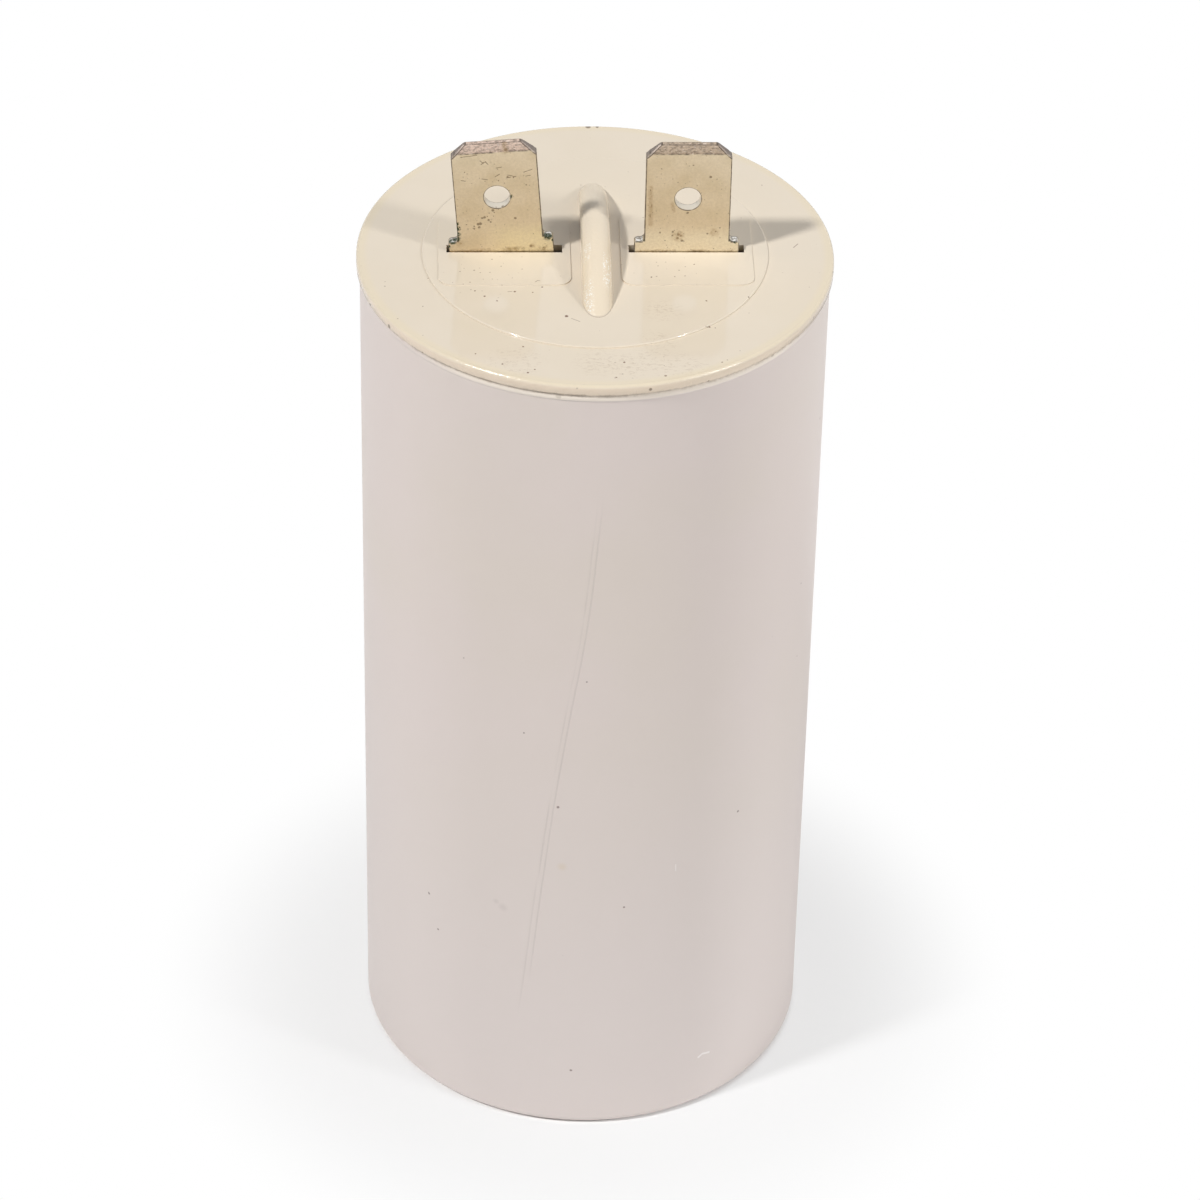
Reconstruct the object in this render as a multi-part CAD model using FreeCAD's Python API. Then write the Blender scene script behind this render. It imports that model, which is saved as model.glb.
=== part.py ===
import FreeCAD, Part
import math
import os

Vector = FreeCAD.Vector
UP = Vector(0, 0, 1)
ACROSS = Vector(0, 1, 0)

# A motor-run capacitor in a round moulded can, standing on its base.
# The can holds a wound film element in potting resin. A plug-in cover closes it, with an arched
# barrier between two flat push-on tabs. Millimetres, +Z up, origin at the centre of the base.

# Can
can_radius = 17.35
can_wall = 1.3
can_height = 70.2
can_floor = 1.5
can_bottom_round = 0.8
can_floor_round = 1.0
foot_ring_width = 2.5
foot_recess = 0.3
rim_bead = 0.12
rim_bead_height = 0.7
standoff_count = 3
standoff_height = 1.9
standoff_width = 1.2
standoff_inner_radius = 6.0

# Cover: flange, plug and skirt
cover_overhang = 0.25
cover_flange = 0.8
cover_edge_round = 0.25
plug_clearance = 0.1
plug_depth = 0.8
skirt_depth = 4.0
skirt_wall = 1.1
skirt_lead_in = 0.4

# Cover: raised disc, and a pad and a boss round each slot
disc_radius = 12.75
disc_step = 0.15
disc_edge_round = 0.1
pad_end_margin = 0.6
pad_width = 9.6
pad_corner = 1.0
pad_step = 0.08
boss_depth = 1.5
boss_margin = 0.8

# Barrier between the terminals
barrier_half_length = 9.05
barrier_rise = 2.45
barrier_thickness = 2.2
barrier_crest = 0.12
barrier_root = 0.6

# Terminals, stamped from one sheet
sheet = 0.8
blade_width = 6.25
blade_length = 8.25
tip_chamfer = 0.98
tip_coin_length = 0.7
tip_coin_depth = 0.2
tip_edge_break = 0.1
blade_hole_radius = 0.97
blade_hole_from_tip = 4.53
shoulder_step = 0.725
shoulder_proud = 0.85
shoulder_round = 0.25
shoulder_fillet = 0.3
slot_end_clearance = 0.4
slot_side_clearance = 0.1
stop_overhang = 0.95
stop_height = 2.2
stop_gap = 0.65
terminal_gap = 3.0
tail_width = 3.6
tail_length = 4.6
tail_round = 0.8
tail_hole_radius = 0.8
left_terminal_lean = 4.35
left_terminal_shift = -0.09
left_terminal_rise = 0.17

# Leads, sleeve and solder
lead_radius = 0.5
lead_bend = 1.6
lead_straight = 0.25
lead_past_solder = 0.1
sleeve_wall = 0.4
sleeve_clearance = 0.3
sleeve_over_spray = 0.4
solder_film = 0.1
solder_margin = 0.4
dome_radius = 2.3
dome_sink = 0.7

# Wound element and potting
potting_gap = 1.05
wrap_thickness = 0.4
wrap_overlap = 1.0
spray_thickness = 0.6
core_outer_radius = 4.0
core_wall = 1.4
resin_over_boss = 0.5

# Radii and widths that follow from the values above
can_bore = can_radius - can_wall
cover_radius = can_radius + cover_overhang
plug_radius = can_bore - plug_clearance
wrap_radius = can_bore - potting_gap
winding_radius = wrap_radius - wrap_thickness
core_inner_radius = core_outer_radius - core_wall
sleeve_radius = lead_radius + sleeve_wall
joint_radius = (core_outer_radius + winding_radius) / 2
shoulder_width = blade_width + 2 * shoulder_step
slot_length = shoulder_width + 2 * slot_end_clearance
slot_width = sheet + 2 * slot_side_clearance
pad_length = slot_length + 2 * pad_end_margin
stop_width = slot_length + 2 * stop_overhang
terminal_spacing = stop_width + terminal_gap
tail_solder_radius = tail_width / 2 - solder_margin

# Heights, from the cover down to the winding
cover_top = can_height + cover_flange
disc_top = cover_top + disc_step
pad_top = disc_top + pad_step
shoulder_top = pad_top + shoulder_proud
tip_top = shoulder_top + blade_length
blade_hole_height = tip_top - blade_hole_from_tip
skirt_bottom = can_height - skirt_depth
plug_bottom = can_height - plug_depth
boss_bottom = plug_bottom - boss_depth
resin_top = boss_bottom + resin_over_boss
stop_top = boss_bottom - stop_gap
stop_bottom = stop_top - stop_height
tail_bottom = stop_bottom - tail_length
tail_hole_height = tail_bottom + tail_width / 2
sleeve_top = tail_bottom - sleeve_clearance
lead_crossing = sleeve_top - lead_straight - lead_bend
spray_top = lead_crossing - sleeve_radius - sleeve_over_spray
winding_top = spray_top - spray_thickness
wrap_top = spray_top + wrap_overlap

# Heights, from the floor up to the winding
wrap_bottom = can_floor + standoff_height
spray_bottom = wrap_bottom + wrap_overlap
winding_bottom = spray_bottom + spray_thickness


def lines(points):
    """Straight edges through (radius, height) points of a turned profile."""
    placed = [Vector(radius, 0, height) for radius, height in points]
    return [Part.makeLine(a, b) for a, b in zip(placed, placed[1:])]


def quarter(radius, height, round_by, middle_angle):
    """A quarter arc of a turned profile about a centre, with its middle at an angle from +X."""
    ends = []
    for angle in (middle_angle - 45, middle_angle, middle_angle + 45):
        turn = math.radians(angle)
        ends.append(Vector(radius + round_by * math.cos(turn), 0, height + round_by * math.sin(turn)))
    return Part.Arc(*ends).toShape()


def turned(edges):
    """A solid of revolution about the Z axis from the edges of a closed profile."""
    return Part.Face(Part.Wire(edges)).revolve(Vector(0, 0, 0), UP, 360)


def tube(inner, outer, low, high):
    """A plain ring about the Z axis."""
    base = Vector(0, 0, low)
    return Part.makeCylinder(outer, high - low, base).cut(Part.makeCylinder(inner, high - low, base))


def rounded_plate(length, width, corner, low, high):
    """A block with rounded upright corners, centred on the Z axis."""
    block = Part.makeBox(length, width, high - low, Vector(-length / 2, -width / 2, low))
    upright = [edge for edge in block.Edges if edge.tangentAt(edge.FirstParameter).cross(UP).Length < 0.5]
    return block.makeFillet(corner, upright)


def make_can():
    """Moulded cup: rounded foot, recessed base, standoff ribs on its floor, a bead at its rim."""
    foot_inner = can_radius - foot_ring_width
    bead_low = Vector(can_radius, 0, can_height - rim_bead_height)
    bead_middle = Vector(can_radius + rim_bead, 0, can_height - rim_bead_height / 2)
    bead_high = Vector(can_radius, 0, can_height)
    inside_round = can_bore - can_floor_round
    profile = lines([(0, can_floor), (0, foot_recess), (foot_inner, foot_recess), (foot_inner, 0),
                     (can_radius - can_bottom_round, 0)])
    profile.append(quarter(can_radius - can_bottom_round, can_bottom_round, can_bottom_round, -45))
    profile += lines([(can_radius, can_bottom_round), (can_radius, bead_low.z)])
    profile.append(Part.Arc(bead_low, bead_middle, bead_high).toShape())
    profile += lines([(can_radius, can_height), (can_bore, can_height),
                      (can_bore, can_floor + can_floor_round)])
    profile.append(quarter(inside_round, can_floor + can_floor_round, can_floor_round, -45))
    profile += lines([(inside_round, can_floor), (0, can_floor)])
    cup = turned(profile)

    root = can_floor / 2
    reach = can_radius - can_wall / 2 - standoff_inner_radius
    for number in range(standoff_count):
        rib = Part.makeBox(reach, standoff_width, wrap_bottom - root,
                           Vector(standoff_inner_radius, -standoff_width / 2, root))
        rib.rotate(Vector(0, 0, 0), UP, (number + 0.5) * 360 / standoff_count - 90)
        cup = cup.fuse(rib)
    return cup.removeSplitter()


def make_barrier():
    """Low arched wall between the terminals, with a rounded crown."""
    arc_radius = (barrier_half_length ** 2 + barrier_rise ** 2) / (2 * barrier_rise)
    foot = disc_top - barrier_root
    foot_half = math.sqrt(arc_radius ** 2 - (arc_radius - barrier_rise - barrier_root) ** 2)
    side = -barrier_thickness / 2
    crown = Part.Arc(Vector(side, -foot_half, foot), Vector(side, 0, disc_top + barrier_rise),
                     Vector(side, foot_half, foot)).toShape()
    chord = Part.makeLine(Vector(side, foot_half, foot), Vector(side, -foot_half, foot))
    wall = Part.Face(Part.Wire([crown, chord])).extrude(Vector(barrier_thickness, 0, 0))
    arched = [edge for edge in wall.Edges if isinstance(edge.Curve, Part.Circle)]
    return wall.makeFillet((barrier_thickness - barrier_crest) / 2, arched)


def make_cover():
    """Flanged plug cover with a raised disc, a pad, slot and boss per terminal, and the barrier."""
    edge_radius = cover_radius - cover_edge_round
    edge_height = cover_top - cover_edge_round
    disc_flat = disc_radius - disc_edge_round
    disc_side = disc_top - disc_edge_round
    profile = lines([(0, plug_bottom), (0, disc_top), (disc_flat, disc_top)])
    profile.append(quarter(disc_flat, disc_side, disc_edge_round, 45))
    profile += lines([(disc_radius, disc_side), (disc_radius, cover_top), (edge_radius, cover_top)])
    profile.append(quarter(edge_radius, edge_height, cover_edge_round, 45))
    profile += lines([(cover_radius, edge_height), (cover_radius, can_height),
                      (plug_radius, can_height), (plug_radius, skirt_bottom + skirt_lead_in),
                      (plug_radius - skirt_lead_in, skirt_bottom),
                      (plug_radius - skirt_wall, skirt_bottom),
                      (plug_radius - skirt_wall, plug_bottom), (0, plug_bottom)])
    cover = turned(profile).fuse(make_barrier())
    root = can_height
    for side in (-1, 1):
        pad = rounded_plate(pad_length, pad_width, pad_corner, root, pad_top)
        boss = rounded_plate(slot_length + 2 * boss_margin, slot_width + 2 * boss_margin,
                             boss_margin / 2, boss_bottom, root)
        slot = Part.makeBox(slot_length, slot_width, pad_top - boss_bottom,
                            Vector(-slot_length / 2, -slot_width / 2, boss_bottom))
        for piece in (pad, boss, slot):
            piece.translate(Vector(side * terminal_spacing / 2, 0, 0))
        cover = cover.fuse([pad, boss]).cut(slot)
    return cover.removeSplitter()


def drill(shape, height, radius):
    """Cuts a round hole through the sheet, on its middle line."""
    return shape.cut(Part.makeCylinder(radius, 2 * sheet, Vector(0, -sheet, height), ACROSS))


def edges_between(shape, start, end):
    """The edges between two (x, z) points of the outline, or between their mirror images. With
    both points the same, those are the edges that cross the sheet."""
    near = 1e-4
    found = []
    for edge in shape.Edges:
        for mirror in (-1, 1):
            ends = sorted((mirror * vertex.X, vertex.Z) for vertex in edge.Vertexes)
            pairs = zip(ends, sorted([start, end]))
            if all(math.dist(one, other) < near for one, other in pairs):
                found.append(edge)
    return found


def make_terminal():
    """Push-on tab: coined tip, shoulders in the slot, a stop under the cover, a solder tail."""
    blade_half = blade_width / 2
    half = [(blade_half - tip_chamfer, tip_top), (blade_half, tip_top - tip_chamfer),
            (blade_half, shoulder_top), (shoulder_width / 2, shoulder_top),
            (shoulder_width / 2, stop_top), (stop_width / 2, stop_top), (stop_width / 2, stop_bottom),
            (tail_width / 2, stop_bottom), (tail_width / 2, tail_bottom)]
    outline = [(-x, z) for x, z in reversed(half)] + half
    front = [Vector(x, -sheet / 2, z) for x, z in outline]
    blank = Part.Face(Part.makePolygon(front + front[:1])).extrude(Vector(0, sheet, 0))
    blank = blank.makeFillet(tail_round, edges_between(blank, half[-1], half[-1]))
    blank = blank.makeFillet(shoulder_fillet, edges_between(blank, half[2], half[2]))
    blank = blank.makeFillet(shoulder_round, edges_between(blank, half[3], half[3]))
    blank = blank.makeChamfer(tip_edge_break, edges_between(blank, half[0], half[1]))

    land = sheet / 2 - tip_coin_depth
    coin_bottom = tip_top - tip_coin_length
    section = [(-sheet / 2, tail_bottom), (sheet / 2, tail_bottom), (sheet / 2, coin_bottom),
               (land, tip_top), (-land, tip_top), (-sheet / 2, coin_bottom)]
    side = [Vector(-stop_width / 2, y, z) for y, z in section]
    coined = Part.Face(Part.makePolygon(side + side[:1])).extrude(Vector(stop_width, 0, 0))

    terminal = blank.common(coined)
    terminal = drill(terminal, blade_hole_height, blade_hole_radius)
    return drill(terminal, tail_hole_height, tail_hole_radius)


def terminal_placement(side):
    """Where a terminal stands: the right one upright, the left one leaning and a little raised."""
    place = Vector(side * terminal_spacing / 2, 0, 0)
    pivot = Vector(0, 0, (pad_top + boss_bottom) / 2)
    lean = 0
    if side < 0:
        place += Vector(left_terminal_shift, 0, left_terminal_rise)
        lean = -left_terminal_lean
    return FreeCAD.Placement(place, FreeCAD.Rotation(ACROSS, lean), pivot)


def bar(points, radius):
    """A round bar: straight runs through the points, joined by tangent elbows of one bend radius."""
    solids = []
    run_start = points[0]
    for before, corner, after in zip(points, points[1:], points[2:]):
        arriving = (corner - before).normalize()
        leaving = (after - corner).normalize()
        turn = arriving.getAngle(leaving)
        reach = lead_bend * math.tan(turn / 2)
        elbow_start = corner - arriving * reach
        axis = arriving.cross(leaving).normalize()
        centre = elbow_start + axis.cross(arriving) * lead_bend
        section = Part.Face(Part.Wire(Part.makeCircle(radius, elbow_start, arriving)))
        solids.append(Part.makeCylinder(radius, (elbow_start - run_start).Length, run_start, arriving))
        solids.append(section.revolve(centre, axis, math.degrees(turn)))
        run_start = corner + leaving * reach
    last = points[-1] - run_start
    solids.append(Part.makeCylinder(radius, last.Length, run_start, last))
    return solids[0].fuse(solids[1:]).removeSplitter()


def tail_joint(side):
    """The centre of a lead where it lies behind a terminal's tail, over the hole."""
    local = Vector(0, sheet / 2 + solder_film + lead_radius, tail_hole_height)
    return terminal_placement(side).multVec(local)


def lead_start(side):
    """The end of a lead, just above its solder on the tail."""
    return tail_joint(side) + UP * (tail_solder_radius + lead_past_solder)


def left_lead_points():
    """From the left tail down to the top metal spray, then outwards along it."""
    start = lead_start(-1)
    low = spray_top + solder_film + lead_radius
    joint = math.sqrt(joint_radius ** 2 - start.x ** 2)
    return [start, Vector(start.x, start.y, low), Vector(start.x, joint + dome_radius / 2, low)]


def right_lead_points():
    """From the right tail across to the axis, down the core and out under the bottom spray."""
    start = lead_start(1)
    low = spray_bottom - solder_film - lead_radius
    return [start, Vector(start.x, start.y, lead_crossing), Vector(0, 0, lead_crossing),
            Vector(0, 0, low), Vector(0, -joint_radius - dome_radius / 2, low)]


def make_sleeve(lead):
    """Insulating sleeve on the right lead, from under the tail to just inside the core's end."""
    start, corner, axis_top, axis_bottom = right_lead_points()[:4]
    top = Vector(start.x, start.y, sleeve_top)
    bottom = axis_bottom + UP * (lead_bend + sleeve_clearance + lead_radius)
    return bar([top, corner, axis_top, bottom], sleeve_radius).cut(lead)


def spray_solder(lead_end, inwards, outwards, lead):
    """A dome of solder on a sprayed end of the winding, round the last of a lead."""
    face = lead_end + inwards * dome_radius / 2 - outwards * (lead_radius + solder_film)
    ball = Part.makeSphere(dome_radius, face - outwards * dome_sink)
    kept = Part.makeCylinder(2 * dome_radius, 2 * dome_radius, face, outwards)
    return ball.common(kept).cut(lead)


def tail_solder(side, lead):
    """Solder that fills the hole in a terminal's tail and holds the lead behind it."""
    centre = tail_joint(side)
    ball = Part.makeSphere(tail_solder_radius, centre)
    front = Vector(centre.x, -sheet / 2, centre.z)
    back = Vector(centre.x, sheet / 2, centre.z)
    kept = Part.makeCylinder(2 * tail_solder_radius, 4 * tail_solder_radius, back, ACROSS)
    plug = Part.makeCylinder(tail_hole_radius, sheet, front, ACROSS)
    return ball.common(kept).fuse(plug).cut(lead)


def build():
    """Every piece by name, the resin last because it fills what the others leave of the can."""
    pieces = {"can": make_can(), "cover": make_cover()}
    for side, name in ((-1, "terminal_left"), (1, "terminal_right")):
        pieces[name] = make_terminal()
        pieces[name].Placement = terminal_placement(side)

    pieces["winding_core"] = tube(core_inner_radius, core_outer_radius, spray_bottom, spray_top)
    pieces["film_winding"] = tube(core_outer_radius, winding_radius, winding_bottom, winding_top)
    pieces["metal_spray_bottom"] = tube(core_outer_radius, winding_radius, spray_bottom, winding_bottom)
    pieces["metal_spray_top"] = tube(core_outer_radius, winding_radius, winding_top, spray_top)
    pieces["winding_wrap"] = tube(winding_radius, wrap_radius, wrap_bottom, wrap_top)

    left_points = left_lead_points()
    right_points = right_lead_points()
    left = bar(left_points, lead_radius)
    right = bar(right_points, lead_radius)
    pieces["lead_left"] = left
    pieces["lead_right"] = right
    pieces["lead_sleeve"] = make_sleeve(right)
    pieces["solder_top"] = spray_solder(left_points[-1], -ACROSS, UP, left)
    pieces["solder_bottom"] = spray_solder(right_points[-1], ACROSS, -UP, right)
    pieces["solder_tail_left"] = tail_solder(-1, left)
    pieces["solder_tail_right"] = tail_solder(1, right)

    pour = Part.makeCylinder(can_bore, resin_top - can_floor, Vector(0, 0, can_floor))
    pieces["potting_resin"] = pour.cut(list(pieces.values()))
    return pieces


def main():
    os.makedirs("parts", exist_ok=True)
    for name, shape in build().items():
        print(f"{name}: {len(shape.Solids)} solid, {shape.Volume:.1f} mm3, valid {shape.isValid()}")
        shape.exportStep(os.path.join("parts", name + ".step"))


main()
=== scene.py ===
import math

import bmesh
import bpy
from mathutils import Matrix, Vector


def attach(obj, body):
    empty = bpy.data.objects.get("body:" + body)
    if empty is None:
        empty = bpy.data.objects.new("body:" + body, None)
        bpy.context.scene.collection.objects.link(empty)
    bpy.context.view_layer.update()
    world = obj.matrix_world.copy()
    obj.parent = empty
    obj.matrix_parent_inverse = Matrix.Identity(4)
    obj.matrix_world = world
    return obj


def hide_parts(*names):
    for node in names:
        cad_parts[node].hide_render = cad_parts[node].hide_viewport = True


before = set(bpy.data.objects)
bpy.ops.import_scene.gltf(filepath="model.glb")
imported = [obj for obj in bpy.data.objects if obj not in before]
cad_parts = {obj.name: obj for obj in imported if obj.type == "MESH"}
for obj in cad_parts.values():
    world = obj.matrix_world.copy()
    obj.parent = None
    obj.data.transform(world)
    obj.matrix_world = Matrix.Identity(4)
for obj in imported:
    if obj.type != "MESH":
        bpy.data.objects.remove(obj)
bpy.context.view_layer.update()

# Sizes in millimetres, and the lean in degrees, the same as the solids' own
can_radius = 17.35
can_wall = 1.3
can_height = 70.2
can_floor = 1.5
can_bottom_round = 0.8
can_floor_round = 1.0
foot_ring_width = 2.5
foot_recess = 0.3
rim_bead = 0.12
rim_bead_height = 0.7
standoff_count = 3
standoff_height = 1.9
standoff_width = 1.2
standoff_inner_radius = 6.0
cover_radius = can_radius + 0.25
cover_flange = 0.8
cover_edge_round = 0.25
plug_radius = can_radius - can_wall - 0.1
plug_bottom = can_height - 0.8
skirt_bottom = can_height - 4.0
skirt_wall = 1.1
skirt_lead_in = 0.4
disc_radius = 12.75
disc_edge_round = 0.1
cover_top = can_height + cover_flange
disc_top = cover_top + 0.15
pad_top = disc_top + 0.08
boss_bottom = plug_bottom - 1.5
boss_margin = 0.8
barrier_half_length = 9.05
barrier_rise = 2.45
barrier_thickness = 2.2
barrier_crest = 0.12
barrier_arc_radius = (barrier_half_length ** 2 + barrier_rise ** 2) / (2 * barrier_rise)
sheet = 0.8
blade_width = 6.25
blade_length = 8.25
tip_chamfer = 0.98
tip_coin_length = 0.7
tip_coin_depth = 0.2
tip_edge_break = 0.1
blade_hole_radius = 0.97
blade_hole_from_tip = 4.53
shoulder_width = blade_width + 2 * 0.725
shoulder_top = pad_top + 0.85
shoulder_round = 0.25
shoulder_fillet = 0.3
slot_length = shoulder_width + 2 * 0.4
slot_width = sheet + 2 * 0.1
pad_length = slot_length + 2 * 0.6
pad_width = 9.6
pad_corner = 1.0
stop_width = slot_length + 2 * 0.95
stop_top = boss_bottom - 0.65
stop_bottom = stop_top - 2.2
tail_width = 3.6
tail_bottom = stop_bottom - 4.6
tail_round = 0.8
tail_hole_radius = 0.8
tip_top = shoulder_top + blade_length
coin_bottom = tip_top - tip_coin_length
terminal_spacing = stop_width + 3.0
left_terminal_lean = 4.35
left_terminal_shift = -0.09
left_terminal_rise = 0.17

# Small roundings that the solids leave out, also in millimetres
barrier_edge_round = 0.18
slot_edge_round = 0.07
step_edge_round = 0.032
stamped_edge_round = 0.045

# Metres in a millimetre, and the facets of a full turn
MM = 0.001
TURN = 256
HOLE_FACETS = 64

# Reaches in millimetres: of joined shapes into each other, of cutters past a cut, and of an edge search
OVERLAP = 0.3
PAST = 1.0
NEAR = 0.05

# How many radii away nothing of a mark shows
FAR = 9.0


def arc(x, z, radius, start, end, steps):
    """Points on an arc about (x, z), between two angles in degrees."""
    angles = [math.radians(start + (end - start) * i / steps) for i in range(steps + 1)]
    return [(x + radius * math.cos(a), z + radius * math.sin(a)) for a in angles]


def turned(profile):
    """A closed mesh turned about the Z axis from a closed (radius, height) profile."""
    bm = bmesh.new()
    rings = []
    for radius, height in profile:
        count = TURN if radius else 1
        angles = [2 * math.pi * i / TURN for i in range(count)]
        ring = [(radius * math.cos(a), radius * math.sin(a), height) for a in angles]
        rings.append([bm.verts.new(point) for point in ring])
    for low, high in zip(rings, rings[1:] + rings[:1]):
        if len(low) + len(high) == 2:
            continue
        for i in range(TURN):
            j = i + 1
            ring = [low[i % len(low)], low[j % len(low)], high[j % len(high)], high[i % len(high)]]
            bm.faces.new(list(dict.fromkeys(ring)))
    bmesh.ops.recalc_face_normals(bm, faces=bm.faces)
    return bm


def lofted(loops):
    """A closed mesh through loops of as many points each, with flat ends."""
    bm = bmesh.new()
    rows = [[bm.verts.new(point) for point in loop] for loop in loops]
    for near, far in zip(rows, rows[1:]):
        for i in range(len(near)):
            j = (i + 1) % len(near)
            bm.faces.new((near[i], near[j], far[j], far[i]))
    bm.faces.new(rows[0][::-1])
    bm.faces.new(rows[-1])
    bmesh.ops.recalc_face_normals(bm, faces=bm.faces)
    return bm


def upright(outline, low, high):
    """A prism of an (x, y) outline between two heights."""
    return lofted([[(x, y, z) for x, y in outline] for z in (low, high)])


def across(outline, front, back):
    """A prism of an (x, z) outline between two depths."""
    return lofted([[(x, y, z) for x, z in outline] for y in (front, back)])


def rectangle(x_low, y_low, x_high, y_high):
    return [(x_low, y_low), (x_high, y_low), (x_high, y_high), (x_low, y_high)]


def rounded_rectangle(x, length, width, corner, steps):
    """An outline centred at (x, 0), with rounded corners."""
    right = length / 2 - corner
    back = width / 2 - corner
    outline = arc(x + right, back, corner, 0, 90, steps)
    outline += arc(x - right, back, corner, 90, 180, steps)
    outline += arc(x - right, -back, corner, 180, 270, steps)
    return outline + arc(x + right, -back, corner, 270, 360, steps)


def as_object(name, bm):
    mesh = bpy.data.meshes.new(name)
    bm.to_mesh(mesh)
    bm.free()
    obj = bpy.data.objects.new(name, mesh)
    bpy.context.scene.collection.objects.link(obj)
    return obj


def combined(first, second, operation):
    """Two closed meshes joined, cut or intersected."""
    base = as_object("base", first)
    tool = as_object("tool", second)
    modifier = base.modifiers.new("combine", "BOOLEAN")
    modifier.object = tool
    modifier.operation = operation
    modifier.solver = "EXACT"
    bpy.context.view_layer.update()
    result = bmesh.new()
    result.from_object(base, bpy.context.evaluated_depsgraph_get())
    for obj in (base, tool):
        bpy.data.meshes.remove(obj.data)
    return result


def cleaned(bm):
    """Merges what a boolean leaves split on flat faces."""
    bmesh.ops.remove_doubles(bm, verts=bm.verts, dist=1e-4)
    bmesh.ops.dissolve_limit(bm, angle_limit=math.radians(0.3), verts=bm.verts, edges=bm.edges)
    return bm


def softened(bm, width, steps, wanted, sharp=28):
    """Rounds the sharp edges whose middle is wanted."""
    chosen = []
    for edge in bm.edges:
        middle = (edge.verts[0].co + edge.verts[1].co) / 2
        if edge.is_manifold and edge.calc_face_angle() > math.radians(sharp) and wanted(middle):
            chosen.append(edge)
    bmesh.ops.bevel(bm, geom=chosen, offset=width, offset_type="OFFSET", segments=steps, profile=0.5,
                    affect="EDGES", clamp_overlap=True)
    return bm


def make_can():
    """Moulded cup with a rounded foot, a recessed base, standoff ribs and a bead at its rim."""
    foot_inner = can_radius - foot_ring_width
    bead = (rim_bead_height ** 2 / 4 + rim_bead ** 2) / (2 * rim_bead)
    spread = math.degrees(math.asin(rim_bead_height / 2 / bead))
    bore = can_radius - can_wall
    inside = bore - can_floor_round
    profile = [(0, can_floor), (0, foot_recess), (foot_inner, foot_recess), (foot_inner, 0)]
    profile += arc(can_radius - can_bottom_round, can_bottom_round, can_bottom_round, -90, 0, 10)
    profile += arc(can_radius + rim_bead - bead, can_height - rim_bead_height / 2, bead, -spread, spread, 10)
    profile.append((bore, can_height))
    profile += arc(inside, can_floor + can_floor_round, can_floor_round, 0, -90, 6)
    can = turned(profile)
    reach = can_radius - can_wall / 2
    for number in range(standoff_count):
        rib = upright(rectangle(standoff_inner_radius, -standoff_width / 2, reach, standoff_width / 2),
                      can_floor / 2, can_floor + standoff_height)
        turn = math.radians((number + 0.5) * 360 / standoff_count - 90)
        bmesh.ops.rotate(rib, cent=(0, 0, 0), matrix=Matrix.Rotation(turn, 3, "Z"), verts=rib.verts)
        can = combined(can, rib, "UNION")
    return can


def make_barrier():
    """Arched wall: a section with a rounded crown, carried along an arc."""
    centre = disc_top + barrier_rise - barrier_arc_radius
    crown = (barrier_thickness - barrier_crest) / 2
    side = barrier_thickness / 2
    section = arc(barrier_crest / 2, -crown, crown, 0, 90, 12)
    section += arc(-barrier_crest / 2, -crown, crown, 90, 180, 12)
    section += [(-side, -barrier_rise), (side, -barrier_rise)]
    buried_end = disc_top - 0.8
    last = math.acos((buried_end - centre) / barrier_arc_radius)
    steps = 48
    loops = []
    for i in range(2 * steps + 1):
        turn = last * (i / steps - 1)
        loop = []
        for x, depth in section:
            reach = barrier_arc_radius + depth
            loop.append((x, reach * math.sin(turn), centre + reach * math.cos(turn)))
        loops.append(loop)
    wall = lofted(loops)
    # Only what stands above the disc, or a little below its top, is kept
    sunk = 0.5
    beyond_x, beyond_y, beyond_z = 3, 12, 6
    kept = upright(rectangle(-beyond_x, -beyond_y, beyond_x, beyond_y), disc_top - sunk,
                   disc_top + beyond_z)
    return combined(wall, kept, "INTERSECT")


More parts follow.
